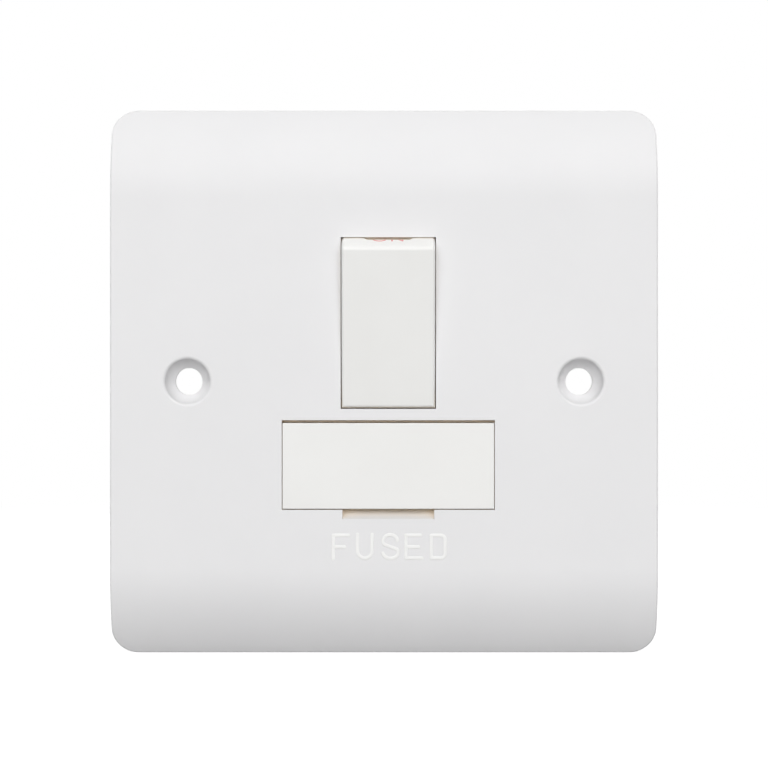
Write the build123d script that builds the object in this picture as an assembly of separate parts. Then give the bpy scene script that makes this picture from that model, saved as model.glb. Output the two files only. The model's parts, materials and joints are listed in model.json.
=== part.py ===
from build123d import *
import math
import os

os.makedirs("parts", exist_ok=True)

# Millimetres. X right, Z up, Y into the wall; the wall is the plane Y = 0
# and the origin is midway between the two fixing holes.

# Front plate
plate_width = 84.0
plate_height = 84.0
plate_depth = 9.5
corner_radius = 4.0
edge_round = 0.35
flat_half_height = 29.0
edge_drop = 4.1
front_wall = 2.6
side_wall = 2.2
fixing_pitch = 60.3
fixing_hole = 4.2
dish_radius = 3.9
dish_round = 0.5
dish_turn = 80.0
dish_hollow = 0.19
dish_depth = 2.9
fixing_boss = 8.6
fixing_bore = 4.4
rib_wall = 1.2
rib_depth = 2.4
rib_z = 15.0
rib_x = 14.0
peg_radius = 1.8
peg_in = 5.0
earth_peg_in = 5.6
screw_floor = 0.8
weld = 0.2

# Places of the controls on the plate
control_x = 0.66
rocker_z = 8.96
rocker_opening_width = 14.58
rocker_opening_height = 26.28
carrier_z = -12.79
carrier_opening_width = 32.62
carrier_opening_height = 13.72
notch_width = 14.06
notch_height = 1.45
notch_depth = 2.1
notch_hollow = 0.2
ledge_depth = 1.3
ledge_gap = 0.08
well_wall = 1.8
well_back = -0.6
tunnel_relief = 1.1
tunnel_wall = 1.5

# Rocker, in its own level position about its pivot
rocker_tilt = 5.8
rocker_side_gap = 0.13
rocker_end_gap = 0.17
sweep_gap = 0.08
face_height = 7.27
rocker_back = 0.3
rocker_shell = 1.5
rocker_crest = 0.9
rocker_edge = 0.5
hollow_draft = 0.5
mark_width = 6.5
mark_depth = 0.27
mark_slope = 1.6
mark_rise = 1.4
mark_back = 1.0
mark_round = 0.25
trunnion_radius = 1.5
trunnion_length = 1.7
ear_radius = 2.6
running_gap = 0.05
pole_spacing = 7.0
barrel_radius = 2.4
barrel_end = 4.0
barrel_floor = -4.6
plunger_radius = 1.5
plunger_back = 1.0
plunger_step = 7.0
plunger_taper = 1.6
tip_radius = 0.9
tip_reach = 10.0
spring_radius = 1.1
spring_wire = 0.2
spring_turns = 5

# Contact arms, in their own level position about the knife edge
arm_swing = 11.0
arm_drop = 2.3
arm_flank = 20.0
arm_knee = 2.6
arm_half_length = 9.0
arm_width = 3.8
arm_sheet = 0.9
arm_gap = 0.05
knife_radius = 0.6
knife_inset = 0.2
contact_reach = 7.2
contact_radius = 1.3
contact_height = 0.8
contact_gap = 0.04
contact_edge = 0.25
rivet_radius = 0.7
rivet_gap = 0.02
rivet_head = 0.3

# Strips and terminals
strip_sheet = 1.0
strip_width = 3.8
terminal_x = 13.8
terminal_width = 8.2
terminal_length = 8.0
terminal_end_wall = 1.3
wire_radius = 2.1
wire_wall = 0.9
thread_length = 3.4
earth_way = 3.9
earth_width = 15.2
block_edge = 0.5
cross_low = 0.6
foot_inset = 1.0
bend_radius = 1.2
bend_run = 2.4
bend_top = 1.6
bend_low = 1.0
bend_room = 1.5
strip_room = 0.2
screw_radius = 2.0
screw_head_radius = 2.6
screw_head = 1.4
slot_width = 0.9
slot_depth = 0.8
head_edge = 0.35
screw_end_gap = 0.15

# Cartridge fuse, its clips and its carrier
fuse_length = 25.4
cap_radius = 3.175
cap_length = 5.6
cap_sheet = 0.18
cap_edge = 0.3
tube_radius = 2.98
fuse_y = 1.5
clip_x = 9.8
clip_width = 4.5
clip_sheet = 0.6
clip_gap = 6.45
clip_lead = 2.2
clip_grip = 2.2
clip_flare = 1.3
clip_bend = 0.8
clip_floor = 0.3
clip_room = 0.6
fuse_end_gap = 0.25
carrier_side_gap = 0.08
carrier_top_gap = 0.43
carrier_bottom_gap = 0.12
carrier_edge = 0.12
carrier_panel = 2.4
cheek_inset = 0.6
cheek_height = 7.3
cheek_back = 10.0
cheek_root = 0.5
cheek_room = 0.5
chamber_room = 0.3
lug_out = 1.46
lug_front = 8.5
lug_height = 3.1
lug_flat = 0.5
lug_tip = 0.3
lug_room = 0.4
saddle_half_width = 5.5
saddle_wall = 1.2
saddle_gap = 0.1
saddle_lip = 1.2
saddle_web = 2.4
pull_slot = 0.8
pull_half = 5.0
pull_skin = 0.9
pull_back_wall = 0.7

# Rear housing
housing_width = 49.4
housing_height = 59.4
housing_corner = 3.0
housing_front = -0.5
housing_floor = 1.6
housing_wall = 1.6
housing_screw_in_x = 3.4
housing_screw_in_z = 5.2
housing_screw_radius = 1.3
housing_head_radius = 2.5
housing_head = 2.0
housing_head_y = 6.0
screw_tip_gap = 0.6
head_room = 0.3
arm_room = 3.3
arm_side_room = 1.8
pocket_wall = 1.4
pole_wall_gap = 0.9
pole_wall_front = 2.0
seat_gap = 0.1
wire_entry = 2.6
slot_between = 1.6
slot_start = 3.0
step_depth = 5.0
step_half_height = 17.5
back_chamfer = 0.8


def box(x0, x1, y0, y1, z0, z1):
    return Pos((x0 + x1) / 2, (y0 + y1) / 2, (z0 + z1) / 2) * Box(x1 - x0, y1 - y0, z1 - z0)


def rod_x(x0, x1, y, z, r):
    return Pos((x0 + x1) / 2, y, z) * Rot(0, 90, 0) * Cylinder(r, x1 - x0)


def rod_y(x, y0, y1, z, r):
    return Pos(x, (y0 + y1) / 2, z) * Rot(90, 0, 0) * Cylinder(r, y1 - y0)


def rod_z(x, y, z0, z1, r):
    return Pos(x, y, (z0 + z1) / 2) * Cylinder(r, z1 - z0)


def across(line, x0, x1):
    # closed outline given in (Y, Z), carried along X
    return extrude(Plane.YZ.offset(x0) * make_face(line), amount=x1 - x0)


def through(sketch, y0, y1):
    # outline given in (X, Z), carried along Y
    return extrude(Plane.XZ.offset(-y0) * sketch, amount=y1 - y0, dir=(0, 1, 0))


def save(shape, name):
    export_step(shape, "parts/" + name + ".step")


# Derived places
front_y = -plate_depth
inner_y = front_y + front_wall
tilt_c = math.cos(math.radians(rocker_tilt))
tilt_s = math.sin(math.radians(rocker_tilt))
half_opening = rocker_opening_height / 2
rocker_bottom = (half_opening - rocker_end_gap - face_height * tilt_s) / tilt_c
pivot_y = front_y + face_height * tilt_c - rocker_bottom * tilt_s
end_radius = math.hypot(rocker_bottom, face_height)
sweep_radius = end_radius + sweep_gap
knife_y = pivot_y + tip_reach + arm_drop
carrier_bottom = carrier_z - carrier_opening_height / 2
carrier_top = carrier_z + carrier_opening_height / 2
carrier_width = carrier_opening_width - 2 * carrier_side_gap
cheek_inner = fuse_length / 2 + fuse_end_gap
cheek_outer = carrier_width / 2 - cheek_inset
pole_x = pole_spacing / 2
housing_screw_x = housing_width / 2 - housing_screw_in_x
housing_screw_z = housing_height / 2 - housing_screw_in_z
trunnion_end = (rocker_opening_width / 2 - rocker_side_gap) + trunnion_length

# Contact arm: its inside V stays one gap clear of the plunger tip while both turn
ratio = arm_swing / rocker_tilt
half_way = math.radians(rocker_tilt / 2)
tip_y = tip_reach * math.cos(half_way) - tip_reach - arm_drop
tip_z = tip_reach * math.sin(half_way)
back_c = math.cos(half_way * ratio)
back_s = math.sin(half_way * ratio)
seen_y = tip_y * back_c - tip_z * back_s
seen_z = tip_y * back_s + tip_z * back_c
flank_t = math.tan(math.radians(arm_flank))
flank_c = math.cos(math.radians(arm_flank))
wing_t = math.tan(math.radians(arm_swing))
wing_c = math.cos(math.radians(arm_swing))
wing_s = math.sin(math.radians(arm_swing))
arm_apex = (tip_radius + arm_gap) / flank_c + seen_y + flank_t * seen_z
knee_y = arm_apex - arm_knee * flank_t
arm_end_y = knee_y - (arm_half_length - arm_knee) * wing_t
contact_y = knee_y - (contact_reach - arm_knee) * wing_t
face_y = contact_y + (arm_sheet + contact_height) * wing_c
face_z = contact_reach + (arm_sheet + contact_height) * wing_s
closed_y = knife_y + face_y * wing_c + face_z * wing_s
closed_z = rocker_z - face_y * wing_s + face_z * wing_c
strip_front = closed_y + contact_gap + contact_height
strip_back = strip_front + strip_sheet
wire_y = strip_back + wire_wall + wire_radius
terminal_back = wire_y + wire_radius + thread_length
housing_back = terminal_back + housing_floor
terminal_inner = housing_height / 2 - terminal_end_wall - terminal_length
terminal_outer = terminal_inner + terminal_length
web_y = fuse_y + cap_radius + clip_floor
pad_front = web_y + clip_sheet
pad_back = pad_front + strip_sheet


# Front plate: curved shell
shoulder = plate_height / 2 - flat_half_height
bow = (shoulder ** 2 + edge_drop ** 2) / (2 * edge_drop)


def plate_block(back_y, face, half_height, width, height, corner):
    radius = bow - (face - front_y)
    centre = front_y + bow
    reach = half_height - flat_half_height
    edge_y = centre - math.sqrt(radius ** 2 - reach ** 2)
    middle = math.asin(reach / radius) / 2
    mid_y = centre - radius * math.cos(middle)
    mid_z = flat_half_height + radius * math.sin(middle)
    outline = [
        Line((back_y, -half_height), (edge_y, -half_height)),
        ThreePointArc((edge_y, -half_height), (mid_y, -mid_z), (face, -flat_half_height)),
        Line((face, -flat_half_height), (face, flat_half_height)),
        ThreePointArc((face, flat_half_height), (mid_y, mid_z), (edge_y, half_height)),
        Line((edge_y, half_height), (back_y, half_height)),
        Line((back_y, half_height), (back_y, -half_height)),
    ]
    bent = across(outline, -width / 2, width / 2)
    column = through(RectangleRounded(width, height, corner), front_y - 1, back_y + 1)
    return bent & column


outer = plate_block(0, front_y, plate_height / 2, plate_width, plate_height, corner_radius)
rim = [e for e in outer.edges() if e.bounding_box().max.Y < -0.1]
seam = [e for e in rim if abs(e.center().Z) < flat_half_height - 1 and e.center().X ** 2 < 1]
joins = [e for e in rim if e.length > plate_width - 1 and abs(e.center().Z) < plate_height / 2 - 1]
outer = fillet([e for e in rim if e not in seam and e not in joins], edge_round)

cavity_width = plate_width - 2 * side_wall
cavity_height = plate_height - 2 * side_wall
cavity_corner = corner_radius - side_wall
cavity = plate_block(1, inner_y, cavity_height / 2, cavity_width, cavity_height, cavity_corner)
plate = outer - cavity

# ring that meets the housing, the rocker well, the carrier tunnel
skirt = RectangleRounded(housing_width, housing_height, housing_corner)
skirt_inside = RectangleRounded(
    housing_width - 2 * housing_wall,
    housing_height - 2 * housing_wall,
    housing_corner - housing_wall,
)
skirt_front = inner_y - weld
plate += Pos(control_x, 0, 0) * through(skirt - skirt_inside, skirt_front, housing_front) & outer

well_half = rocker_opening_width / 2
well_low = rocker_z - half_opening
well_high = rocker_z + half_opening
well_top = rocker_z + sweep_radius
tunnel_half = carrier_opening_width / 2 + tunnel_relief
left = control_x - well_half
right = control_x + well_half
plate += box(
    left - well_wall, right + well_wall, skirt_front, well_back, carrier_top, well_top + tunnel_wall
)
plate += box(
    control_x - tunnel_half - tunnel_wall,
    control_x + tunnel_half + tunnel_wall,
    skirt_front,
    well_back,
    carrier_bottom - tunnel_wall,
    well_low,
)

# bosses, ribs and the pegs that hold the terminals in their pockets
plate += rod_y(-fixing_pitch / 2, skirt_front, 0, 0, fixing_boss / 2)
plate += rod_y(fixing_pitch / 2, skirt_front, 0, 0, fixing_boss / 2)
screw_places = [
    (control_x + sx * housing_screw_x, sz * housing_screw_z) for sx in (-1, 1) for sz in (-1, 1)
]
for x, z in screw_places:
    plate += rod_y(x, skirt_front, housing_front, z, housing_head_radius)
peg_z = terminal_inner + peg_in
pegs = [
    (terminal_x, peg_z, strip_front),
    (-terminal_x, peg_z, strip_front),
    (0, terminal_inner + earth_peg_in, strip_back),
    (terminal_x, -peg_z, strip_front),
    (-terminal_x, -peg_z, strip_front),
]
for x, z, end in pegs:
    plate += rod_y(control_x + x, skirt_front, end - seat_gap, z, peg_radius)
side_edge = plate_width / 2 - side_wall + weld
edge_z = plate_height / 2 - side_wall + weld
ribs = []
for sx in (-1, 1):
    inner = sx * (housing_width / 2 - weld) + control_x
    low, high = sorted((inner, sx * side_edge))
    for z in (-rib_z, rib_z):
        ribs.append(
            box(low, high, skirt_front, skirt_front + rib_depth, z - rib_wall / 2, z + rib_wall / 2)
        )
    low, high = sorted((sx * fixing_pitch / 2, sx * side_edge))
    ribs.append(box(low, high, skirt_front, skirt_front + rib_depth, -rib_wall / 2, rib_wall / 2))
for sz in (-1, 1):
    low, high = sorted((sz * (housing_height / 2 - weld), sz * edge_z))
    for x in (-rib_x, rib_x):
        ribs.append(
            box(
                control_x + x - rib_wall / 2,
                control_x + x + rib_wall / 2,
                skirt_front,
                skirt_front + rib_depth,
                low,
                high,
            )
        )
for rib in ribs:
    plate += rib & outer

# openings, cut after everything they pass through
plate -= box(left, right, front_y - 1, well_back + 1, well_low, well_high)
relief = rod_x(left, right, pivot_y, rocker_z, sweep_radius)
relief &= box(left, right, front_y, pivot_y, well_high - 1, well_top + 1)
relief += box(left, right, pivot_y, well_back + 1, well_high - 1, well_top)
plate -= relief
carrier_half = carrier_opening_width / 2
ledge_y = front_y + ledge_depth
ledge_z = carrier_top - carrier_top_gap + ledge_gap
carrier_left = control_x - carrier_half
carrier_right = control_x + carrier_half
plate -= box(carrier_left, carrier_right, front_y - 1, ledge_y, carrier_bottom, carrier_top)
plate -= box(carrier_left, carrier_right, front_y, 1, carrier_bottom, ledge_z)
plate -= box(control_x - tunnel_half, control_x + tunnel_half, inner_y, 1, carrier_bottom, ledge_z)
bearing = trunnion_radius + running_gap
plate -= rod_x(left - well_wall - 1, right + well_wall + 1, pivot_y, rocker_z, bearing)

# finger notch: a cove that is deepest under the carrier
notch_low = carrier_bottom - notch_height
notch_back = front_y + notch_depth
slant = math.hypot(notch_height, notch_depth)
cove_mid = (
    front_y + notch_depth / 2 + notch_hollow * notch_height / slant,
    carrier_bottom - notch_height / 2 - notch_hollow * notch_depth / slant,
)
notch = [
    ThreePointArc((front_y, notch_low), cove_mid, (notch_back, carrier_bottom)),
    Line((notch_back, carrier_bottom), (notch_back, carrier_z)),
    Line((notch_back, carrier_z), (front_y - 1, carrier_z)),
    Line((front_y - 1, carrier_z), (front_y - 1, notch_low)),
    Line((front_y - 1, notch_low), (front_y, notch_low)),
]
plate -= across(notch, control_x - notch_width / 2, control_x + notch_width / 2)

hole_radius = fixing_hole / 2
dish_floor = front_y + dish_depth
rim_turn = math.radians(dish_turn)
rim_x = dish_radius - dish_round * math.sin(rim_turn)
rim_y = front_y + dish_round * (1 - math.cos(rim_turn))
rim_mid = (
    dish_radius - dish_round * math.sin(rim_turn / 2),
    front_y + dish_round * (1 - math.cos(rim_turn / 2)),
)
dish_mid = ((rim_x + hole_radius) / 2 + dish_hollow, (rim_y + dish_floor) / 2 + dish_hollow)
dish_outline = [
    Line((0, front_y - 1), (dish_radius, front_y - 1)),
    Line((dish_radius, front_y - 1), (dish_radius, front_y)),
    ThreePointArc((dish_radius, front_y), rim_mid, (rim_x, rim_y)),
    ThreePointArc((rim_x, rim_y), dish_mid, (hole_radius, dish_floor)),
    Line((hole_radius, dish_floor), (hole_radius, 1)),
    Line((hole_radius, 1), (0, 1)),
    Line((0, 1), (0, front_y - 1)),
]
dish = revolve(make_face(dish_outline), axis=Axis.Y)
for sx in (-1, 1):
    plate -= Pos(sx * fixing_pitch / 2, 0, 0) * dish
    # each boss is a half round behind the front wall, open to the side of the plate
    low, high = sorted((sx * fixing_pitch / 2, sx * (fixing_pitch + fixing_boss + 1) / 2))
    plate -= box(low, high, front_y + fixing_bore, 1, -hole_radius, hole_radius)
for x, z in screw_places:
    plate -= rod_y(x, inner_y + screw_floor, 1, z, housing_screw_radius + rivet_gap)
save(plate, "front_plate")


# Rear housing: block with pockets open to the front
housing = through(skirt, housing_front, housing_back)
half_width = housing_width / 2 + 1
step_y = housing_back - step_depth
housing -= box(-half_width, half_width, step_y, housing_back + 1, -step_half_height, step_half_height)
housing = chamfer(housing.faces().sort_by(Axis.Y)[-2:].edges(), back_chamfer)
front = housing_front - 1
gap = seat_gap

# switch chamber with a wall between the poles
chamber_half = pole_x + arm_width / 2 + arm_side_room
chamber_low = rocker_z - arm_half_length - arm_room
chamber_high = terminal_inner - pocket_wall
housing -= box(-chamber_half, chamber_half, front, strip_back, chamber_low, chamber_high)
pole_wall = pole_x - strip_width / 2 - pole_wall_gap
housing += box(-pole_wall, pole_wall, pole_wall_front, strip_back, chamber_low, chamber_high)

# fuse chamber, with deeper slots for the cheeks of the carrier
clip_reach = clip_gap / 2 + clip_sheet + clip_flare + clip_room
clip_space = clip_reach + chamber_room
slot_half = cheek_height / 2 + cheek_room
housing -= box(
    -cheek_inner, cheek_inner, front, pad_back, carrier_z - clip_space, carrier_z + clip_space
)
for sx in (-1, 1):
    low, high = sorted((sx * (cheek_inner - chamber_room), sx * (cheek_outer + lug_out + lug_room)))
    slot_end = cheek_back + chamber_room
    housing -= box(low, high, front, slot_end, carrier_z - slot_half, carrier_z + slot_half)

# terminal pockets, screw holes and wire ways
terminals = [
    ("line_supply", terminal_x, 1, terminal_width, (0,)),
    ("neutral_supply", -terminal_x, 1, terminal_width, (0,)),
    ("earth", 0, 1, earth_width, (-earth_way, earth_way)),
    ("line_load", -terminal_x, -1, terminal_width, (0,)),
    ("neutral_load", terminal_x, -1, terminal_width, (0,)),
]
for name, x, side, width, ways in terminals:
    low, high = sorted((side * (terminal_inner - gap), side * (terminal_outer + gap)))
    half = width / 2 + gap
    housing -= box(x - half, x + half, front, terminal_back, low, high)
    for way in ways:
        housing -= rod_y(
            x + way, terminal_back - 1, housing_back + 1, (low + high) / 2, screw_head_radius + head_room
        )
        low_z, high_z = sorted((side * (terminal_outer - 1), side * (housing_height / 2 + 1)))
        housing -= rod_z(x + way, wire_y, low_z, high_z, wire_entry)

# slots that part the wire ways on the top and bottom edges
slot_x = (earth_width / 2 + terminal_x - terminal_width / 2) / 2
slot_y = strip_back + housing_wall
for sx in (-1, 1):
    for sz in (-1, 1):
        low, high = sorted((sz * (terminal_inner + slot_start), sz * (housing_height / 2 + 1)))
        middle = sx * slot_x
        half = slot_between / 2
        housing -= box(middle - half, middle + half, slot_y, housing_back + 1, low, high)

# channels that the strips lie in
reach = strip_width / 2
clear = strip_room
pad_low = closed_z - reach
pad_high = closed_z + reach
cross_high = cross_low + strip_width
foot_low = -terminal_outer + foot_inset
foot_high = -terminal_inner - foot_inset
step_top = carrier_z + clip_reach - bend_top
step_low = carrier_z - clip_reach + bend_low


def channel(x0, x1, z0, z1):
    return box(x0 - clear, x1 + clear, front, strip_back, z0 - clear, z1 + clear)


for sx in (-1, 1):
    low, high = sorted((sx * pole_x, sx * (terminal_x + reach)))
    housing -= channel(low, high, pad_low, pad_high)
    low, high = sorted((sx * (terminal_x - reach), sx * (terminal_x + reach)))
    housing -= channel(low, high, pad_low, terminal_inner + 1)
housing -= channel(pole_x, clip_x + reach, cross_low, cross_high)
housing -= channel(clip_x - reach, clip_x + reach, step_top - bend_room, cross_high)
housing -= channel(-pole_x - reach, -pole_x + reach, foot_low, rocker_z)
housing -= channel(-pole_x - reach, terminal_x + reach, foot_low, foot_high)
housing -= channel(-clip_x - reach, -clip_x + reach, foot_low, step_low + bend_room)
housing -= channel(-terminal_x - reach, -clip_x + reach, foot_low, foot_high)

for x, z in screw_places:
    local = x - control_x
    housing -= rod_y(local, front, housing_back + 1, z, housing_screw_radius + head_room)
    housing -= rod_y(local, housing_head_y, housing_back + 1, z, housing_head_radius + head_room)
save(Pos(control_x, 0, 0) * housing, "rear_housing")


# Rocker, drawn level about its pivot
rocker_half = rocker_opening_width / 2 - rocker_side_gap
end_slope = -tilt_s / tilt_c


def swept(radius, y0, y1):
    # arc about the pivot, from depth y0 to depth y1
    places = [(y, math.sqrt(radius ** 2 - y ** 2)) for y in (y0, (y0 + y1) / 2, y1)]
    return ThreePointArc(*places)


back_low = -rocker_bottom + (rocker_back + face_height) * end_slope
end_line = swept(end_radius, -face_height, rocker_back)
side = [
    end_line,
    Line(end_line @ 1, (rocker_back, back_low)),
    Line((rocker_back, back_low), (-face_height, -rocker_bottom)),
    Line((-face_height, -rocker_bottom), end_line @ 0),
]
rocker = across(side, -rocker_half, rocker_half)
crest = rocker.edges().filter_by(Axis.X).sort_by_distance((0, -face_height, rocker_bottom))[0]
rocker = fillet(crest, rocker_crest)
sides = [e for e in rocker.edges() if abs(abs(e.center().X) - rocker_half) < 0.01]
sides = [e for e in sides if e.center().Y < rocker_back - 0.1 and e.center().Z > 1 - rocker_bottom]
foot = rocker.edges().filter_by(Axis.X).sort_by_distance((0, -face_height, -rocker_bottom))[0]
rocker = fillet(sides + [foot], rocker_edge)
inner_face = -face_height + rocker_shell
inner_low = -rocker_bottom + rocker_shell
draft_low = inner_low - hollow_draft
inner_end = swept(end_radius - rocker_shell, inner_face, rocker_back + 1)
hollow = [
    inner_end,
    Line(inner_end @ 1, (rocker_back + 1, draft_low)),
    Line((rocker_back + 1, draft_low), (inner_face, inner_low)),
    Line((inner_face, inner_low), inner_end @ 0),
]
rocker -= across(hollow, -rocker_half + rocker_shell, rocker_half - rocker_shell)
for sx in (-1, 1):
    low, high = sorted((sx * (rocker_half - rocker_shell), sx * rocker_half))
    rocker += rod_x(low, high, 0, 0, ear_radius)
    low, high = sorted((sx * (rocker_half - weld), sx * trunnion_end))
    rocker += rod_x(low, high, 0, 0, trunnion_radius)
    rocker += rod_y(sx * pole_x, -face_height + 1, barrel_end, 0, barrel_radius)
for sx in (-1, 1):
    rocker -= rod_y(sx * pole_x, barrel_floor, barrel_end + 1, 0, plunger_radius + running_gap)
rocker = Pos(control_x, pivot_y, rocker_z) * Rot(rocker_tilt, 0, 0) * rocker

# shallow scoop across the raised end, where the mark is
scoop_z = rocker_z + math.sqrt(end_radius ** 2 - (front_y - pivot_y) ** 2) - mark_depth
half = mark_width / 2
flare = half + mark_slope * mark_rise
scoop = Polyline(
    (-half, scoop_z),
    (half, scoop_z),
    (flare, scoop_z + mark_rise),
    (-flare, scoop_z + mark_rise),
    close=True,
)
scoop = fillet(make_face(scoop).vertices(), mark_round)
rocker -= Pos(control_x, 0, 0) * through(scoop, front_y - 4, front_y + mark_back)
save(rocker, "rocker")

# Plungers and springs, carried in the two barrels
nose = [
    Line((0, plunger_back), (plunger_radius, plunger_back)),
    Line((plunger_radius, plunger_back), (plunger_radius, plunger_step)),
    Line((plunger_radius, plunger_step), (tip_radius, plunger_step + plunger_taper)),
    Line((tip_radius, plunger_step + plunger_taper), (tip_radius, tip_reach)),
    RadiusArc((tip_radius, tip_reach), (0, tip_reach + tip_radius), -tip_radius),
    Line((0, tip_reach + tip_radius), (0, plunger_back)),
]
plunger = revolve(make_face(nose), axis=Axis.Y)
coil_length = plunger_back - barrel_floor - 2 * spring_wire
coil = Helix(pitch=coil_length / spring_turns, height=coil_length, radius=spring_radius)
wire = Plane(coil @ 0, z_dir=coil % 0) * RegularPolygon(spring_wire, 6)
spring = Rot(-90, 0, 0) * sweep(wire, path=coil, is_frenet=True)
spring = Pos(0, barrel_floor + spring_wire, 0) * spring
poles = [("line", 1), ("neutral", -1)]
for pole, sx in poles:
    place = Pos(control_x + sx * pole_x, pivot_y, rocker_z) * Rot(rocker_tilt, 0, 0)
    save(place * plunger, pole + "_plunger")
    save(place * spring, pole + "_plunger_spring")


# Contact arms with their silver rivets, drawn level about the knife edge
under = arm_sheet / flank_c
under_knee = arm_knee + arm_sheet * math.tan(math.radians((arm_flank + arm_swing) / 2))
under_knee_y = arm_apex + under - under_knee * flank_t
end_z = arm_half_length + arm_sheet * wing_s
end_y = arm_end_y + arm_sheet * wing_c
arm_line = Polyline(
    (arm_end_y, -arm_half_length),
    (knee_y, -arm_knee),
    (arm_apex, 0),
    (knee_y, arm_knee),
    (arm_end_y, arm_half_length),
    (end_y, end_z),
    (under_knee_y, under_knee),
    (arm_apex + under, 0),
    (under_knee_y, -under_knee),
    (end_y, -end_z),
    close=True,
)
arm = across(arm_line, -arm_width / 2, arm_width / 2)
arm -= rod_x(-arm_width, arm_width, 0, 0, knife_radius + running_gap)
rivet_place = Pos(0, contact_y, contact_reach) * Rot(arm_swing, 0, 0)
arm -= rivet_place * rod_y(0, -1, 2, 0, rivet_radius + rivet_gap)
moving = rod_y(0, arm_sheet, arm_sheet + contact_height, 0, contact_radius)
moving = chamfer(moving.faces().sort_by(Axis.Y)[-1].edges(), contact_edge)
moving += rod_y(0, -rivet_head, arm_sheet, 0, rivet_radius)
moving += rod_y(0, -rivet_head, 0, 0, rivet_radius + rivet_head)
moving = rivet_place * moving
fixed = rod_y(0, strip_front - contact_height, strip_front, 0, contact_radius)
fixed = chamfer(fixed.faces().sort_by(Axis.Y)[0].edges(), contact_edge)
fixed += rod_y(0, strip_front, strip_back, 0, rivet_radius)
for pole, sx in poles:
    place = Pos(control_x + sx * pole_x, knife_y, rocker_z) * Rot(-arm_swing, 0, 0)
    save(place * arm, pole + "_contact_arm")
    save(place * moving, pole + "_moving_contact")
    save(Pos(control_x + sx * pole_x, 0, closed_z) * fixed, pole + "_fixed_contact")


# Strips
def sheet(x0, x1, z0, z1):
    return box(x0, x1, strip_front, strip_back, z0, z1)


def stepped(x, points):
    # sheet bent along a centre line given in (Y, Z), one strip wide in X
    line = FilletPolyline(*points, radius=bend_radius)
    inner = offset(line, amount=strip_sheet / 2, side=Side.LEFT)
    outer_half = offset(line, amount=strip_sheet / 2, side=Side.RIGHT)
    half_a = across(inner.edges(), x - reach, x + reach)
    half_b = across(outer_half.edges(), x - reach, x + reach)
    return half_a + half_b


def knife(x):
    low = x - reach + knife_inset
    high = x + reach - knife_inset
    edge = rod_x(low, high, knife_y, rocker_z, knife_radius)
    foot_y = strip_front + weld
    return edge + box(low, high, knife_y, foot_y, rocker_z - knife_radius, rocker_z + knife_radius)


middle_y = (strip_front + strip_back) / 2
pad_y = (pad_front + pad_back) / 2
supply = sheet(pole_x - reach, terminal_x + reach, pad_low, pad_high)
supply += sheet(terminal_x - reach, terminal_x + reach, pad_low, terminal_outer - 1)
supply -= rod_y(pole_x, strip_front - 1, strip_back + 1, closed_z, rivet_radius + rivet_gap)
save(Pos(control_x, 0, 0) * supply, "line_supply_strip")
save(Pos(control_x, 0, 0) * mirror(supply, about=Plane.YZ), "neutral_supply_strip")

switched = sheet(pole_x - reach, pole_x + reach, cross_low, rocker_z + reach)
switched += sheet(pole_x - reach, clip_x + reach, cross_low, cross_high)
switched += stepped(
    clip_x,
    [
        (middle_y, cross_high),
        (middle_y, step_top + bend_run),
        (pad_y, step_top),
        (pad_y, carrier_z - clip_gap / 2),
    ],
)
switched += knife(pole_x)
save(Pos(control_x, 0, 0) * switched, "line_switch_strip")

returned = sheet(-pole_x - reach, -pole_x + reach, foot_low, rocker_z + reach)
returned += sheet(-pole_x - reach, terminal_x + reach, foot_low, foot_high)
returned += knife(-pole_x)
save(Pos(control_x, 0, 0) * returned, "neutral_switch_strip")

load = sheet(-terminal_x - reach, -clip_x + reach, foot_low, foot_high)
load += stepped(
    -clip_x,
    [
        (pad_y, carrier_z + clip_gap / 2),
        (pad_y, step_low),
        (middle_y, step_low - bend_run),
        (middle_y, foot_low),
    ],
)
save(Pos(control_x, 0, 0) * load, "line_load_strip")


# Terminal blocks and their slotted screws
def slotted(x, z, head_y, end_y, radius, head_radius, head):
    screw = rod_y(x, head_y, head_y + head, z, head_radius)
    screw = chamfer(screw.faces().sort_by(Axis.Y)[-1].edges(), head_edge)
    screw += rod_y(x, end_y, head_y, z, radius)
    top = head_y + head
    across_head = head_radius + 1
    half = slot_width / 2
    return screw - box(x - across_head, x + across_head, top - slot_depth, top + 1, z - half, z + half)


for name, x, side_sign, width, ways in terminals:
    z = side_sign * (terminal_inner + terminal_outer) / 2
    half_length = terminal_length / 2
    block = box(
        control_x + x - width / 2,
        control_x + x + width / 2,
        strip_back,
        terminal_back,
        z - half_length,
        z + half_length,
    )
    block = chamfer(block.edges().filter_by(Axis.Z), block_edge)
    for number, way in enumerate(ways):
        centre = control_x + x + way
        block -= rod_z(centre, wire_y, z - half_length - 1, z + half_length + 1, wire_radius)
        block -= rod_y(centre, wire_y, terminal_back + 1, z, screw_radius + running_gap)
        screw_end = wire_y + wire_radius + screw_end_gap
        screw = slotted(centre, z, terminal_back, screw_end, screw_radius, screw_head_radius, screw_head)
        label = name + "_screw" if len(ways) == 1 else name + "_screw_" + ("left", "right")[number]
        save(screw, label)
    save(block, name + "_terminal")

for x, z in screw_places:
    corner = ("lower", "upper")[z > 0] + "_" + ("left", "right")[x > 0]
    tip_end = inner_y + screw_floor + screw_tip_gap
    screw = slotted(x, z, housing_head_y, tip_end, housing_screw_radius, housing_head_radius, housing_head)
    save(screw, "housing_screw_" + corner)


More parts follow.
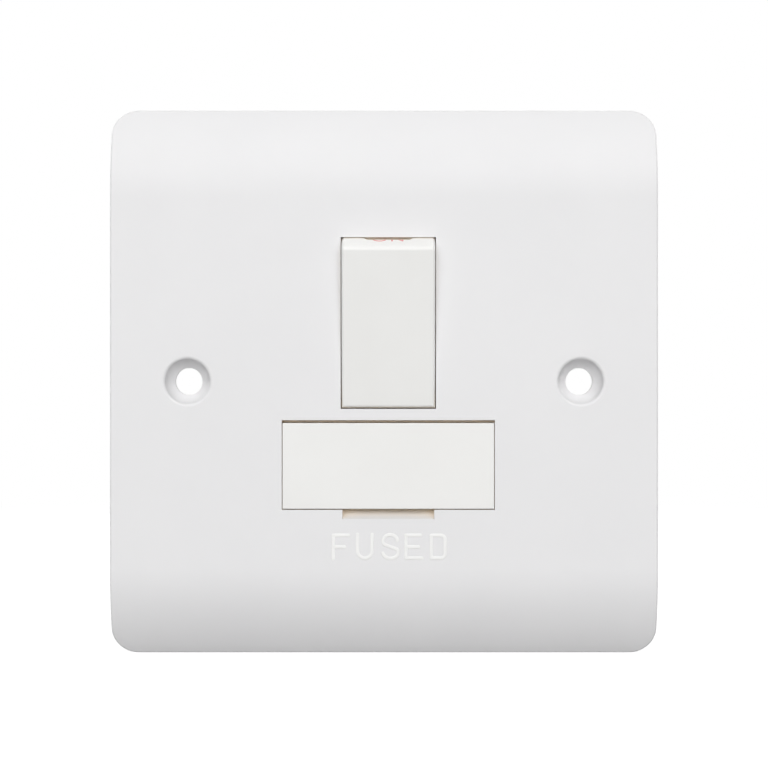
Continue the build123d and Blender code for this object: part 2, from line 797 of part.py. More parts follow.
# Cartridge fuse
half_fuse = fuse_length / 2
cap_end = 2 * cap_sheet
tube_half = half_fuse - cap_end
tube = rod_x(-tube_half, tube_half, fuse_y, carrier_z, tube_radius)
save(Pos(control_x, 0, 0) * tube, "fuse_tube")
for label, sx in (("left", -1), ("right", 1)):
    low, high = sorted((sx * half_fuse, sx * (half_fuse - cap_length)))
    cap = rod_x(low, high, fuse_y, carrier_z, cap_radius)
    end = cap.faces().sort_by(Axis.X)[0 if sx < 0 else -1]
    cap = chamfer(end.edges(), cap_edge)
    low, high = sorted((sx * (half_fuse - cap_end), sx * (half_fuse - cap_length - 1)))
    cap -= rod_x(low, high, fuse_y, carrier_z, cap_radius - cap_sheet)
    save(Pos(control_x, 0, 0) * cap, "fuse_cap_" + label)

# Fuse clips: jaws with flared leads
jaw = clip_gap / 2 + clip_sheet / 2
lead_y = fuse_y - clip_grip
web_mid = web_y + clip_sheet / 2
clip_line = FilletPolyline(
    (lead_y - clip_lead, jaw + clip_flare),
    (lead_y, jaw),
    (web_mid, jaw),
    (web_mid, -jaw),
    (lead_y, -jaw),
    (lead_y - clip_lead, -jaw - clip_flare),
    radius=clip_bend,
)
clip_half = clip_sheet / 2
for label, x in (("switched", clip_x), ("load", -clip_x)):
    low = x - clip_width / 2
    high = x + clip_width / 2
    clip = across(offset(clip_line, amount=clip_half, side=Side.LEFT).edges(), low, high)
    clip += across(offset(clip_line, amount=clip_half, side=Side.RIGHT).edges(), low, high)
    save(Pos(control_x, 0, carrier_z) * clip, "fuse_clip_" + label)

# Fuse carrier
panel_low = carrier_bottom + carrier_bottom_gap
panel_high = carrier_top - carrier_top_gap
panel_back = front_y + carrier_panel
carrier = box(-carrier_width / 2, carrier_width / 2, front_y, panel_back, panel_low, panel_high)
carrier = fillet(carrier.faces().sort_by(Axis.Y)[0].edges(), carrier_edge)
for sx in (-1, 1):
    low, high = sorted((sx * cheek_inner, sx * cheek_outer))
    half = cheek_height / 2
    carrier += box(low, high, panel_back - cheek_root, cheek_back, carrier_z - half, carrier_z + half)
    lug = make_face(
        Polyline(
            (sx * (cheek_outer - weld), lug_front),
            (sx * (cheek_outer + lug_out), lug_front),
            (sx * (cheek_outer + lug_out), lug_front + lug_flat),
            (sx * (cheek_outer + lug_tip), cheek_back),
            (sx * (cheek_outer - weld), cheek_back),
            close=True,
        )
    )
    carrier += Pos(0, 0, carrier_z - lug_height / 2) * extrude(lug, amount=lug_height, dir=(0, 0, 1))
saddle_inner = tube_radius + saddle_gap
saddle_outer = saddle_inner + saddle_wall
saddle = rod_x(-saddle_half_width, saddle_half_width, fuse_y, carrier_z, saddle_outer)
saddle += box(
    -saddle_half_width,
    saddle_half_width,
    fuse_y - saddle_outer,
    fuse_y + saddle_outer,
    carrier_z,
    carrier_z + saddle_lip,
)
saddle += box(
    -saddle_half_width,
    saddle_half_width,
    panel_back - cheek_root,
    fuse_y,
    carrier_z - saddle_web,
    carrier_z + saddle_lip,
)
saddle -= rod_x(-saddle_half_width - 1, saddle_half_width + 1, fuse_y, carrier_z, saddle_inner)
saddle -= box(
    -saddle_half_width - 1,
    saddle_half_width + 1,
    fuse_y - saddle_inner,
    fuse_y + saddle_inner,
    carrier_z,
    carrier_z + saddle_lip + 1,
)
carrier += saddle
pull_y = front_y + pull_skin
pull_end = panel_back - pull_back_wall
carrier -= box(-pull_half, pull_half, pull_y, pull_end, panel_low - 1, panel_low + pull_slot)
save(Pos(control_x, 0, 0) * carrier, "fuse_carrier")
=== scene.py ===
import json
import math

import bpy
import numpy as np
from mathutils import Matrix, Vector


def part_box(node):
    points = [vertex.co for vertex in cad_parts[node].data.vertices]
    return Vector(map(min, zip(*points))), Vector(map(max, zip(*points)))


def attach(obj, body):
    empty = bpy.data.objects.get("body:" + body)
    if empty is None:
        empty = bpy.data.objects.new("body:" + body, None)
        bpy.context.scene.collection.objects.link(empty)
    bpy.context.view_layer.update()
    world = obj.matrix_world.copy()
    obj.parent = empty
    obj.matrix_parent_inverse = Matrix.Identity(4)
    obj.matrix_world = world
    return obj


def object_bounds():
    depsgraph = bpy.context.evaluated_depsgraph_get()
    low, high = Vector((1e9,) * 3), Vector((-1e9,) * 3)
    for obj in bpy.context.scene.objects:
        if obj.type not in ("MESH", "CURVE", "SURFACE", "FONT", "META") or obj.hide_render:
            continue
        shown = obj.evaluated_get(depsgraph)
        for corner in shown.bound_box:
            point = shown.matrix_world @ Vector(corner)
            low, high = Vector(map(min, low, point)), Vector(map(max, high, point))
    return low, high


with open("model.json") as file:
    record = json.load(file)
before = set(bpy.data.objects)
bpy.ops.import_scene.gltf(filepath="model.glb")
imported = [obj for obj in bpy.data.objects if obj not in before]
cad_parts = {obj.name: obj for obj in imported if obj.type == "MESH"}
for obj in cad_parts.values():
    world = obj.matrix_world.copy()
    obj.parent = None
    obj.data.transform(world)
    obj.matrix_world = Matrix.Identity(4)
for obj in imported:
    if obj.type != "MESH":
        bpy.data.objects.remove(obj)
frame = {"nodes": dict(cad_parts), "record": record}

mm = 0.001
scene = bpy.context.scene
nodes = frame["nodes"]
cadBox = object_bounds()


# small helpers for node trees

noiseSpan = (0.3, 0.7)  # nearly all of a noise texture's values lie between these two
edgeSamples = 6  # rays that find a soft edge or a crevice


def startMaterial(name):
    material = bpy.data.materials.new(name)
    material.use_nodes = True
    tree = material.node_tree
    return material, tree, tree.nodes["Principled BSDF"]


def addNode(tree, kind, sockets=None, **settings):
    node = tree.nodes.new(kind)
    for key, value in settings.items():
        setattr(node, key, value)
    for key, value in (sockets or {}).items():
        node.inputs[key].default_value = value
    return node


def objectPoints(tree, stretch=None):
    points = addNode(tree, "ShaderNodeTexCoord").outputs["Object"]
    if stretch is None:
        return points
    mapping = addNode(tree, "ShaderNodeMapping", {"Scale": stretch})
    tree.links.new(points, mapping.inputs["Vector"])
    return mapping.outputs["Vector"]


def noise(tree, points, scale, detail, rough):
    sockets = {"Scale": scale, "Detail": detail, "Roughness": rough}
    texture = addNode(tree, "ShaderNodeTexNoise", sockets)
    tree.links.new(points, texture.inputs["Vector"])
    return texture.outputs["Fac"]


def blendColours(tree, factor, dark, light, span=noiseSpan):
    ramp = addNode(tree, "ShaderNodeValToRGB")
    first, last = ramp.color_ramp.elements
    first.position, last.position = span
    first.color, last.color = (*dark, 1), (*light, 1)
    tree.links.new(factor, ramp.inputs["Fac"])
    return ramp.outputs["Color"]


def blendNumbers(tree, factor, low, high):
    spread = addNode(
        tree,
        "ShaderNodeMapRange",
        {"From Min": noiseSpan[0], "From Max": noiseSpan[1], "To Min": low, "To Max": high},
    )
    tree.links.new(factor, spread.inputs["Value"])
    return spread.outputs["Result"]


def addBump(tree, shader, height, strength, depth, edge=0.0):
    bump = addNode(tree, "ShaderNodeBump", {"Strength": strength, "Distance": depth})
    tree.links.new(height, bump.inputs["Height"])
    if edge:
        # softens the look of the moulded edges by this radius
        soft = addNode(tree, "ShaderNodeBevel", {"Radius": edge}, samples=edgeSamples)
        tree.links.new(soft.outputs["Normal"], bump.inputs["Normal"])
    tree.links.new(bump.outputs["Normal"], shader.inputs["Normal"])


# moulded plastics: cloudy tint, uneven gloss, faint mould grain,
# and painted warm shade deep in the gaps and the finger notch

# painted shade: the base colour is darkened and warmed wherever nearby surfaces hem it in, as in
# the gaps and the notch
def paintCreviceShade(tree, tint, points, look):
    reach = look["creviceReach"] * mm
    sky = addNode(tree, "ShaderNodeAmbientOcclusion", {"Distance": reach}, samples=edgeSamples)
    plain = (1.0, 1.0, 1.0)
    paintedShade = blendColours(tree, sky.outputs["AO"], look["creviceShade"], plain, look["creviceSpan"])
    # no painted shade along the lowest edge, where the floor would count as a hollow
    split = addNode(tree, "ShaderNodeSeparateXYZ")
    tree.links.new(points, split.inputs["Vector"])
    low = cadBox[0].z + reach
    clear = addNode(tree, "ShaderNodeMapRange", {"From Min": low, "From Max": low + reach})
    tree.links.new(split.outputs["Z"], clear.inputs["Value"])
    mix = addNode(tree, "ShaderNodeMix", data_type="RGBA", blend_type="MULTIPLY")
    tree.links.new(clear.outputs["Result"], mix.inputs["Factor"])
    tree.links.new(tint, mix.inputs["A"])
    tree.links.new(paintedShade, mix.inputs["B"])
    return mix.outputs["Result"]


def mouldedPlastic(name, look):
    material, tree, shader = startMaterial(name)
    points = objectPoints(tree)
    cloud = noise(tree, points, look["cloudScale"], detail=4.0, rough=0.55)
    grain = noise(tree, points, look["grainScale"], detail=2.0, rough=0.6)
    gloss = noise(tree, points, look["glossScale"], detail=3.0, rough=0.5)
    tint = blendColours(tree, cloud, look["dark"], look["light"])
    # painted shade in the gaps and hollows, multiplied into the tint
    if "creviceShade" in look:
        tint = paintCreviceShade(tree, tint, points, look)
    tree.links.new(tint, shader.inputs["Base Color"])
    tree.links.new(blendNumbers(tree, gloss, *look["rough"]), shader.inputs["Roughness"])
    addBump(tree, shader, grain, look["grain"], look["grainDepth"] * mm, look["edge"] * mm)
    shader.inputs["IOR"].default_value = look["ior"]
    if "glow" in look:
        # light that spreads a little way under the surface
        shader.inputs["Subsurface Weight"].default_value = look["glow"]
        shader.inputs["Subsurface Radius"].default_value = look["glowColour"]
        shader.inputs["Subsurface Scale"].default_value = look["glowReach"] * mm
    return material


plateFinish = {
    "dark": (0.818, 0.814, 0.820),
    "light": (0.838, 0.833, 0.838),
    "cloudScale": 55.0,
    "grainScale": 3200.0,
    "glossScale": 120.0,
    "rough": (0.50, 0.58),
    "grain": 0.06,
    "grainDepth": 0.05,
    "edge": 0.08,
    "ior": 1.5,
    # painted warm shade in the gaps: its colour, how far it looks, and the span of its ramp
    "creviceShade": (1.07, 0.93, 0.75),
    "creviceReach": 2.6,
    "creviceSpan": (0.12, 0.56),
}
controlFinish = {
    "dark": (0.872, 0.868, 0.848),
    "light": (0.890, 0.886, 0.868),
    "cloudScale": 90.0,
    "grainScale": 3600.0,
    "glossScale": 160.0,
    "rough": (0.32, 0.40),
    "grain": 0.05,
    "grainDepth": 0.05,
    "edge": 0.06,
    "ior": 1.5,
    # painted warm shade in the gaps: its colour, how far it looks, and the span of its ramp
    "creviceShade": (0.96, 0.88, 0.76),
    "creviceReach": 1.8,
    "creviceSpan": (0.12, 0.56),
}
housingFinish = {
    "dark": (0.690, 0.686, 0.664),
    "light": (0.735, 0.730, 0.708),
    "cloudScale": 70.0,
    "grainScale": 2400.0,
    "glossScale": 140.0,
    "rough": (0.46, 0.58),
    "grain": 0.22,
    "grainDepth": 0.08,
    "edge": 0.2,
    "ior": 1.5,
}
nylonFinish = {
    "dark": (0.800, 0.780, 0.700),
    "light": (0.850, 0.832, 0.760),
    "cloudScale": 260.0,
    "grainScale": 5200.0,
    "glossScale": 400.0,
    "rough": (0.40, 0.52),
    "grain": 0.08,
    "grainDepth": 0.04,
    "edge": 0.1,
    "ior": 1.53,
    "glow": 0.15,
    "glowColour": (1.0, 0.72, 0.52),
    "glowReach": 0.9,
}
ceramicFinish = {
    "dark": (0.800, 0.778, 0.720),
    "light": (0.870, 0.852, 0.800),
    "cloudScale": 180.0,
    "grainScale": 6000.0,
    "glossScale": 300.0,
    "rough": (0.55, 0.70),
    "grain": 0.25,
    "grainDepth": 0.04,
    "edge": 0.08,
    "ior": 1.55,
}


# metals: drawn lines along one axis, cloudy tarnish, uneven gloss

tarnishSpan = (0.28, 0.62)  # noise values between which tarnish gives way to bright metal


def workedMetal(name, look):
    material, tree, shader = startMaterial(name)
    along = objectPoints(tree, look["drawnStretch"])
    drawn = noise(tree, along, look["drawnScale"], detail=3.0, rough=0.6)
    cloud = noise(tree, objectPoints(tree), look["cloudScale"], detail=5.0, rough=0.6)
    tint = blendColours(tree, cloud, look["dark"], look["light"], tarnishSpan)
    tree.links.new(tint, shader.inputs["Base Color"])
    tree.links.new(blendNumbers(tree, drawn, *look["rough"]), shader.inputs["Roughness"])
    addBump(tree, shader, drawn, look["lines"], look["lineDepth"] * mm, look["edge"] * mm)
    shader.inputs["Metallic"].default_value = 1.0
    return material


brassFinish = {
    "dark": (0.560, 0.380, 0.150),
    "light": (0.760, 0.560, 0.270),
    "cloudScale": 240.0,
    "drawnStretch": (1.0, 1.0, 0.08),
    "drawnScale": 5200.0,
    "rough": (0.22, 0.40),
    "lines": 0.10,
    "lineDepth": 0.02,
    "edge": 0.1,
}
silverFinish = {
    "dark": (0.640, 0.620, 0.580),
    "light": (0.850, 0.840, 0.815),
    "cloudScale": 900.0,
    "drawnStretch": (1.0, 1.0, 1.0),
    "drawnScale": 6000.0,
    "rough": (0.26, 0.42),
    "lines": 0.12,
    "lineDepth": 0.015,
    "edge": 0.06,
}
zincFinish = {
    "dark": (0.540, 0.550, 0.560),
    "light": (0.700, 0.708, 0.712),
    "cloudScale": 520.0,
    "drawnStretch": (1.0, 0.1, 1.0),
    "drawnScale": 4200.0,
    "rough": (0.28, 0.46),
    "lines": 0.10,
    "lineDepth": 0.02,
    "edge": 0.08,
}
nickelFinish = {
    "dark": (0.640, 0.615, 0.570),
    "light": (0.770, 0.750, 0.710),
    "cloudScale": 380.0,
    "drawnStretch": (0.1, 1.0, 1.0),
    "drawnScale": 4600.0,
    "rough": (0.16, 0.30),
    "lines": 0.08,
    "lineDepth": 0.015,
    "edge": 0.08,
}

finishes = {
    "plate_white": mouldedPlastic("plateWhite", plateFinish),
    "control_white": mouldedPlastic("controlWhite", controlFinish),
    "housing_white": mouldedPlastic("housingWhite", housingFinish),
    "nylon": mouldedPlastic("naturalNylon", nylonFinish),
    "fuse_ceramic": mouldedPlastic("fuseCeramic", ceramicFinish),
    "brass": workedMetal("drawnBrass", brassFinish),
    "silver": workedMetal("contactSilver", silverFinish),
    "plated_steel": workedMetal("zincPlate", zincFinish),
    "nickel": workedMetal("nickelCap", nickelFinish),
}
for row in frame["record"]["subparts"]:
    mesh = nodes[row["node"]].data
    mesh.materials.clear()
    mesh.materials.append(finishes[row["material_slot"]])
print("finishes:", ", ".join(sorted(finishes)))


# printed and moulded marks: a low rounded profile carried along each stroke

def traceLine(start, end, steps=12):
    # straight run: start plus an even share of the difference
    share = np.linspace(0.0, 1.0, steps)[:, None]
    return np.array(start) + share * (np.array(end) - np.array(start))


def traceArc(centre, radius, first, last, steps=40):
    # part of a circle or ellipse: centre plus radius times (cosine, sine) of an even run of angles
    turn = np.radians(np.linspace(first, last, steps))
    return np.array(centre) + np.array(radius) * np.stack([np.cos(turn), np.sin(turn)], 1)


def joinStroke(pieces, spacing):
    # one line through all the pieces, spaced evenly by its own length
    line = np.concatenate(pieces)
    step = np.r_[0.0, np.cumsum(np.hypot(*np.diff(line, axis=0).T))]
    keep = np.r_[True, np.diff(step) > 1e-6]  # drops points that lie on each other
    line, step = line[keep], step[keep]
    even = np.linspace(0.0, step[-1], max(4, int(step[-1] / spacing)))
    return np.stack([np.interp(even, step, line[:, 0]), np.interp(even, step, line[:, 1])], 1)


def roundEnds(line, half):
    # the line runs on by half the width times the sine of a turn, the width falls off as its cosine
    turn = np.linspace(0.0, 0.48 * np.pi, 6)[1:]  # just short of a quarter, so no end is a point
    first, last = line[1] - line[0], line[-1] - line[-2]
    head = line[0] - half * np.sin(turn)[::-1, None] * first / np.hypot(*first)
    tail = line[-1] + half * np.sin(turn)[:, None] * last / np.hypot(*last)
    width = np.r_[np.cos(turn)[::-1], np.ones(len(line)), np.cos(turn)]
    return np.concatenate([head, line, tail]), width


def strokeSurface(line, look, place, closed):
    # profile: half width times cosine across, rise times the root of sine up, sink times sine below
    half = look["stroke"] / 2
    if closed:
        line = line[:-1]
        along = np.roll(line, -1, 0) - np.roll(line, 1, 0)
        width = np.ones(len(line))
    else:
        line, width = roundEnds(line, half)
        along = np.gradient(line, axis=0)
    along /= np.hypot(*along.T)[:, None]
    side = np.stack([-along[:, 1], along[:, 0]], 1)
    around = np.linspace(0.0, 2 * np.pi, look["sides"], endpoint=False)
    across = half * np.cos(around)
    lift = np.sin(around)
    lift = np.where(lift > 0, look["rise"] * np.sqrt(np.abs(lift)), look["sink"] * lift)
    flat = line[:, None, :] + side[:, None, :] * (across[None, :] * width[:, None])[:, :, None]
    raised = lift[None, :] * np.where(lift > 0, width[:, None] ** 0.5, 1.0)
    return place(flat[..., 0], flat[..., 1], raised), closed


def surfaceMesh(name, surfaces):
    # each grid of points becomes quads between neighbouring rows and columns, its open ends capped
    corners, faces, base = [], [], 0
    for points, closed in surfaces:
        rows, columns = points.shape[:2]
        starts = np.arange(rows if closed else rows - 1)
        i, j = np.meshgrid(starts, np.arange(columns), indexing="ij")
        nextRow, nextColumn = (i + 1) % rows, (j + 1) % columns
        quads = np.stack(
            [
                i * columns + j,
                nextRow * columns + j,
                nextRow * columns + nextColumn,
                i * columns + nextColumn,
            ],
            -1,
        ).reshape(-1, 4)
        flatPoints = points.reshape(-1, 3)
        # signed volume about the middle: below nought, the faces point inwards and are turned round
        p = flatPoints[quads] - flatPoints.mean(0)
        twice = np.cross(p[:, 1], p[:, 2]) + np.cross(p[:, 2], p[:, 3])
        volume = np.einsum("ij,ij->i", p[:, 0], twice).sum()
        loops = quads.tolist()
        if not closed:
            ring = np.arange(columns)
            loops += [ring.tolist(), (ring[::-1] + (rows - 1) * columns).tolist()]
        if volume < 0:
            loops = [loop[::-1] for loop in loops]
        faces += [[v + base for v in loop] for loop in loops]
        corners.append(flatPoints)
        base += len(flatPoints)
    mesh = bpy.data.meshes.new(name)
    mesh.from_pydata(np.concatenate(corners).tolist(), [], faces)
    mesh.polygons.foreach_set("use_smooth", np.ones(len(faces), bool))
    mesh.update()
    piece = bpy.data.objects.new(name, mesh)
    scene.collection.objects.link(piece)
    return piece


def drawMarks(name, look, place, strokes, closed=()):
    # closed holds the numbers of the strokes that run back into their own start
    return surfaceMesh(
        name,
        [
            strokeSurface(joinStroke(pieces, look["spacing"]), look, place, number in closed)
            for number, pieces in enumerate(strokes)
        ],
    )


def markPaint(name, look):
    # paint laid in a thin uneven coat
    material, tree, shader = startMaterial(name)
    coat = noise(tree, objectPoints(tree), look["coatScale"], detail=4.0, rough=0.6)
    tint = blendColours(tree, coat, look["thin"], look["full"])
    tree.links.new(tint, shader.inputs["Base Color"])
    tree.links.new(blendNumbers(tree, coat, *look["rough"]), shader.inputs["Roughness"])
    addBump(tree, shader, coat, look["uneven"], look["unevenDepth"] * mm)
    return material


# the plain word under the drawer, on the flat of the plate
legend = {
    "faceY": -9.5,
    "stroke": 0.52,
    "rise": 0.05,
    "sink": 0.03,
    "sides": 14,
    "spacing": 0.08,
    "top": -23.55,
    "middle": -25.33,
    "base": -27.05,
    "overrun": 0.12,
    "letterF": {"left": -7.78, "right": -5.45, "armEnd": -6.06},
    "letterU": {"left": -4.06, "bowl": 1.11},
    "letterS": {
        "upper": {"centre": (0.95, -24.45), "radius": (1.10, 0.98), "first": 4, "last": 212},
        "lower": {"centre": (0.98, -26.18), "radius": (1.18, 0.92), "first": 32, "last": -172},
    },
    "letterE": {"left": 3.35, "topEnd": 5.55, "middleEnd": 5.28, "baseEnd": 5.78},
    "letterD": {"left": 7.23, "right": 9.37, "bend": 0.72},
    "thin": (0.912, 0.908, 0.896),
    "full": (0.935, 0.931, 0.920),
    "coatScale": 900.0,
    "rough": (0.36, 0.48),
    "uneven": 0.10,
    "unevenDepth": 0.02,
}


def onPlate(x, z, lift):
    # flat on the plate, lifted towards the viewer
    return np.stack([x, legend["faceY"] - lift, z], -1) * mm


def strokesOfF(look, sizes):
    top, middle, left = look["top"], look["middle"], sizes["left"]
    return [
        [traceLine((left, look["base"] - look["overrun"]), (left, top))],
        [traceLine((left, top), (sizes["right"], top))],
        [traceLine((left, middle), (sizes["armEnd"], middle))],
    ]


def strokesOfU(look, sizes):
    left, bowl = sizes["left"], sizes["bowl"]
    right = left + 2 * bowl
    start, turn = look["top"] + look["overrun"], look["base"] + bowl
    return [
        [
            traceLine((left, start), (left, turn)),
            traceArc((left + bowl, turn), bowl, 180, 360),
            traceLine((right, turn), (right, start)),
        ]
    ]


def strokesOfS(look, sizes):
    return [[traceArc(**sizes["upper"]), traceArc(**sizes["lower"])]]


def strokesOfE(look, sizes):
    left, top, base = sizes["left"], look["top"], look["base"]
    arms = [(top, "topEnd"), (look["middle"], "middleEnd"), (base, "baseEnd")]
    stem = [traceLine((left, top), (left, base))]
    return [stem] + [[traceLine((left, z), (sizes[end], z))] for z, end in arms]


def strokesOfD(look, sizes):
    left, right, bend = sizes["left"], sizes["right"], sizes["bend"]
    top, base = look["top"], look["base"]
    return [
        [
            traceLine((left, base), (left, top)),
            traceLine((left, top), (right - bend, top)),
            traceArc((right - bend, top - bend), bend, 90, 0),
            traceLine((right, top - bend), (right, base + bend)),
            traceArc((right - bend, base + bend), bend, 0, -90),
            traceLine((right - bend, base), (left, base)),
        ]
    ]


def legendStrokes(look):
    letters = [
        (strokesOfF, "letterF"),
        (strokesOfU, "letterU"),
        (strokesOfS, "letterS"),
        (strokesOfE, "letterE"),
        (strokesOfD, "letterD"),
    ]
    return [stroke for draw, key in letters for stroke in draw(look, look[key])]


legendPiece = drawMarks("legend_word", legend, onPlate, legendStrokes(legend))
legendPiece.data.materials.append(markPaint("legendPaint", legend))
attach(legendPiece, "unit")
print("legend:", len(legendPiece.data.polygons), "faces")


# the red ON mark, which starts on the rocker's round end and runs back over the floor of its scoop
switchMark = {
    "pivotY": -3.510,
    "pivotZ": 8.96,
    "radius": 14.286,
    "edgeTurn": 27.26,
    "edgeBlend": 0.24,
    "onEnd": 0.55,
    "height": 1.7,
    "stroke": 0.26,
    "rise": 0.03,
    "sink": 0.03,
    "sides": 12,
    "spacing": 0.06,
    "ringMiddle": -0.697,
    "ringHalf": 1.0,
    "letterLeft": 1.23,
    "letterRight": 2.84,
    "thin": (0.800, 0.300, 0.300),
    "full": (0.850, 0.360, 0.350),
    "coatScale": 1400.0,
    "rough": (0.34, 0.46),
    "uneven": 0.10,
    "unevenDepth": 0.02,
}


def onRocker(x, v, lift):
    # up to the edge the mark climbs the round end about the pivot, past it the mark runs back level
    look = switchMark
    past = v - look["onEnd"]
    turn = math.radians(look["edgeTurn"]) - np.minimum(past, 0.0) / look["radius"]
    level = np.maximum(past, 0.0)
    # share of the way round the edge, so that the coat turns smoothly over it
    share = np.clip(past / look["edgeBlend"] + 0.5, 0.0, 1.0)
    lean = turn * (1.0 - share * share * (3.0 - 2.0 * share))
    y = look["pivotY"] - look["radius"] * np.sin(turn) + level - lift * np.sin(lean)
    z = look["pivotZ"] + look["radius"] * np.cos(turn) + lift * np.cos(lean)
    return np.stack([x, y, z], -1) * mm


def markStrokes(look):
    low = look["stroke"] / 2
    high = look["height"] - low
    left, right = look["letterLeft"], look["letterRight"]
    centre = (look["ringMiddle"], (low + high) / 2)
    return [
        [traceArc(centre, (look["ringHalf"], (high - low) / 2), 0, 360)],
        [traceLine((left, low), (left, high))],
        [traceLine((left, high), (right, low))],
        [traceLine((right, low), (right, high))],
    ]


markPiece = drawMarks("on_mark", switchMark, onRocker, markStrokes(switchMark), closed=(0,))
markPiece.data.materials.append(markPaint("markRed", switchMark))
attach(markPiece, "rocker")
print("mark:", len(markPiece.data.polygons), "faces")


# moulded terminal letters behind, on the floor of the cable space, read from the wall's side
terminalMarks = {
    "floorIn": 5.0,
    "middle": 0.66,
    "outer": 13.8,
    "upper": 12.2,
    "lower": -15.2,
    "height": 3.0,
    "width": 2.0,
    "stroke": 0.55,
    "rise": 0.2,
    "sink": 0.05,
    "sides": 12,
    "spacing": 0.15,
    "bars": ((0.45, 1.35), (0.22, 0.85), (0.0, 0.35)),
}


def onHousing(x, z, lift):
    # x runs to the right as seen from behind, the letters stand off the floor by their lift
    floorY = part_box("rear_housing")[1].y / mm - terminalMarks["floorIn"]
    return np.stack([terminalMarks["middle"] - x, floorY + lift, z], -1) * mm


def letterL(x, z, look):
    left, right, top = x - look["width"] / 2, x + look["width"] / 2, z + look["height"]
    return [[traceLine((left, top), (left, z)), traceLine((left, z), (right, z))]]


def letterN(x, z, look):
    left, right, top = x - look["width"] / 2, x + look["width"] / 2, z + look["height"]
    corners = [(left, z), (left, top), (right, z), (right, top)]
    return [[traceLine(a, b)] for a, b in zip(corners, corners[1:])]


def earthSign(x, z, look):
    # a stem above three bars, each bar at its share of the height with its own half length
    height = look["height"]
    stem = [traceLine((x, z + height), (x, z + look["bars"][0][0] * height))]
    return [stem] + [
        [traceLine((x - reach, z + share * height), (x + reach, z + share * height))]
        for share, reach in look["bars"]
    ]


def terminalStrokes(look):
    outer, upper, lower = look["outer"], look["upper"], look["lower"]
    signs = [
        (letterL, -outer, upper),
        (earthSign, 0.0, upper),
        (letterN, outer, upper),
        (letterN, -outer, lower),
        (letterL, outer, lower),
    ]
    return [stroke for draw, x, z in signs for stroke in draw(x, z, look)]


marksPiece = drawMarks("terminal_marks", terminalMarks, onHousing, terminalStrokes(terminalMarks))
marksPiece.data.materials.append(finishes["housing_white"])
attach(marksPiece, "unit")
print("terminal marks:", len(marksPiece.data.polygons), "faces")


# stage: pale floor under the plate's lower edge, white to the eye, its shadow kept near the object
floorLook = {
    "size": 6.0,
    "height": cadBox[0].z,
    "tint": (0.30, 0.30, 0.30),
    "white": 0.90,
    "shadowReach": (0.22, 0.42),
}


def seenDirectly(tree):
    # one where the eye, a mirror or clear glass sees the surface, nought for scattered light
    path = addNode(tree, "ShaderNodeLightPath")
    first = addNode(tree, "ShaderNodeMath", operation="MAXIMUM")
    both = addNode(tree, "ShaderNodeMath", operation="MAXIMUM")
    tree.links.new(path.outputs["Is Camera Ray"], first.inputs[0])
    tree.links.new(path.outputs["Is Glossy Ray"], first.inputs[1])
    tree.links.new(first.outputs[0], both.inputs[0])
    tree.links.new(path.outputs["Is Transmission Ray"], both.inputs[1])
    return both.outputs[0]


def floorMaterial(look):
    material = bpy.data.materials.new("paleFloor")
    material.use_nodes = True
    tree = material.node_tree
    tree.nodes.clear()
    out = addNode(tree, "ShaderNodeOutputMaterial")
    seen = seenDirectly(tree)
    # near the object: takes its shadow, and is lifted towards white
    diffuse = addNode(tree, "ShaderNodeBsdfDiffuse", {"Color": (*look["tint"], 1)})
    glow = addNode(tree, "ShaderNodeEmission")
    level = addNode(tree, "ShaderNodeMath", operation="MULTIPLY")
    level.inputs[1].default_value = look["white"]
    tree.links.new(seen, level.inputs[0])
    tree.links.new(level.outputs[0], glow.inputs["Strength"])
    near = addNode(tree, "ShaderNodeAddShader")
    tree.links.new(diffuse.outputs[0], near.inputs[0])
    tree.links.new(glow.outputs[0], near.inputs[1])
    # far off: plain white
    far = addNode(tree, "ShaderNodeEmission")
    tree.links.new(seen, far.inputs["Strength"])
    length = addNode(tree, "ShaderNodeVectorMath", operation="LENGTH")
    tree.links.new(objectPoints(tree), length.inputs[0])
    away = addNode(
        tree,
        "ShaderNodeMapRange",
        {"From Min": look["shadowReach"][0], "From Max": look["shadowReach"][1]},
        interpolation_type="SMOOTHSTEP",
    )
    tree.links.new(length.outputs["Value"], away.inputs["Value"])
    mix = addNode(tree, "ShaderNodeMixShader")
    tree.links.new(away.outputs["Result"], mix.inputs["Fac"])
    tree.links.new(near.outputs[0], mix.inputs[1])
    tree.links.new(far.outputs[0], mix.inputs[2])
    tree.links.new(mix.outputs[0], out.inputs["Surface"])
    return material


def floorSheet(look):
    half, z = look["size"] / 2, look["height"]
    corners = [(-half, -half, z), (half, -half, z), (half, half, z), (-half, half, z)]
    mesh = bpy.data.meshes.new("floor")
    mesh.from_pydata(corners, [], [(0, 1, 2, 3)])
    mesh.materials.append(floorMaterial(look))
    sheet = bpy.data.objects.new("floor", mesh)
    scene.collection.objects.link(sheet)
    return sheet


floor = floorSheet(floorLook)

worldLook = {"ambient": (0.98, 0.99, 1.0), "strength": 0.14}


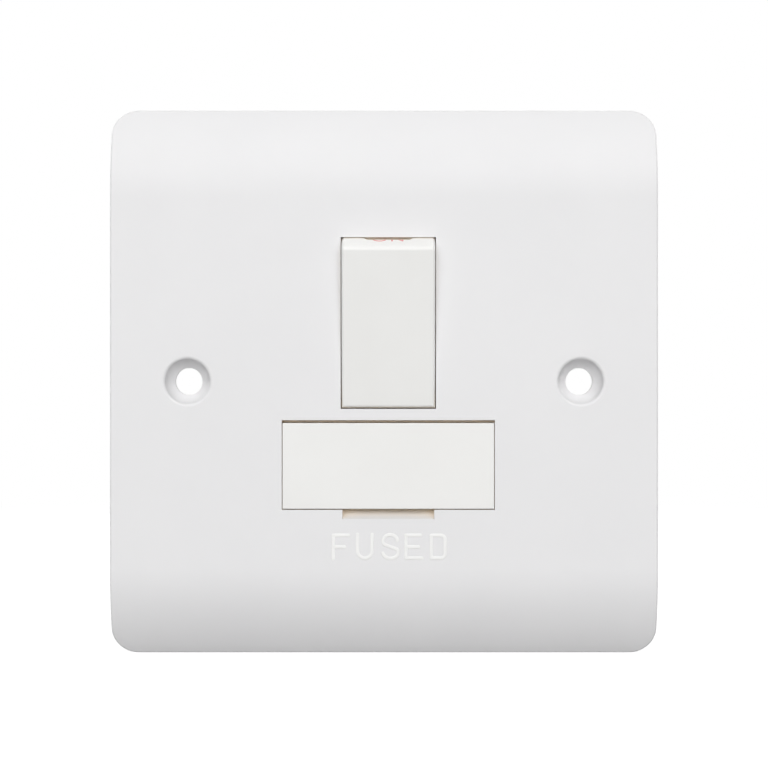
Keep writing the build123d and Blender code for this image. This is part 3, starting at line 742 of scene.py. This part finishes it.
def whiteSurround(look):
    # white to the eye, a dim even light on the object
    world = bpy.data.worlds.new("studio")
    world.use_nodes = True
    tree = world.node_tree
    tree.nodes.clear()
    out = addNode(tree, "ShaderNodeOutputWorld")
    ambient = {"Color": (*look["ambient"], 1), "Strength": look["strength"]}
    dim = addNode(tree, "ShaderNodeBackground", ambient)
    white = addNode(tree, "ShaderNodeBackground", {"Color": (1, 1, 1, 1), "Strength": 1.0})
    mix = addNode(tree, "ShaderNodeMixShader")
    tree.links.new(seenDirectly(tree), mix.inputs["Fac"])
    tree.links.new(dim.outputs[0], mix.inputs[1])
    tree.links.new(white.outputs[0], mix.inputs[2])
    tree.links.new(mix.outputs[0], out.inputs["Surface"])
    return world


scene.world = whiteSurround(worldLook)
print("stage: floor and white surround")


# lamps: a soft key from above the viewer, a small one overhead, two at the back for the sides
lamps = {
    "key": {"place": (0.0, -0.84, 0.35), "size": (1.40, 0.55), "power": 8.6},
    "overhead": {"place": (0.0, -0.34, 0.84), "size": (0.60, 0.40), "power": 1.15},
    "sideLeft": {"place": (-0.72, 0.52, 0.36), "size": (0.5, 0.5), "power": 4.0},
    "sideRight": {"place": (0.72, 0.52, 0.36), "size": (0.5, 0.5), "power": 4.0},
}


def aimAtOrigin(lampObject):
    x, y, z = lampObject.location
    lampObject.rotation_euler = (math.atan2(math.hypot(x, y), z), 0.0, math.atan2(x, -y))


for name, lamp in lamps.items():
    light = bpy.data.lights.new(name, "AREA")
    light.shape = "RECTANGLE"
    light.size, light.size_y = lamp["size"]
    light.energy = lamp["power"]
    lampObject = bpy.data.objects.new(name, light)
    lampObject.location = lamp["place"]
    aimAtOrigin(lampObject)
    scene.collection.objects.link(lampObject)
print("lamps:", ", ".join(lamps))


# camera: square on to the plate, as in the photograph
cameraLook = {
    "distance": 330.0,
    "front": -9.5,
    "height": -0.38,
    "lens": 101.0,
    "sensor": 36.0,
    "clipStart": 10.0,
}
cameraData = bpy.data.cameras.new("camera")
cameraData.lens = cameraLook["lens"]
cameraData.sensor_width = cameraLook["sensor"]
cameraData.clip_start = cameraLook["clipStart"] * mm
camera = bpy.data.objects.new("camera", cameraData)
cameraY = cameraLook["front"] - cameraLook["distance"]
camera.location = (0.0, cameraY * mm, cameraLook["height"] * mm)
camera.rotation_euler = (math.pi / 2, 0.0, 0.0)
scene.collection.objects.link(camera)
scene.camera = camera
scene.view_settings.view_transform = "Standard"
print("camera:", cameraLook["distance"], "mm from the front")
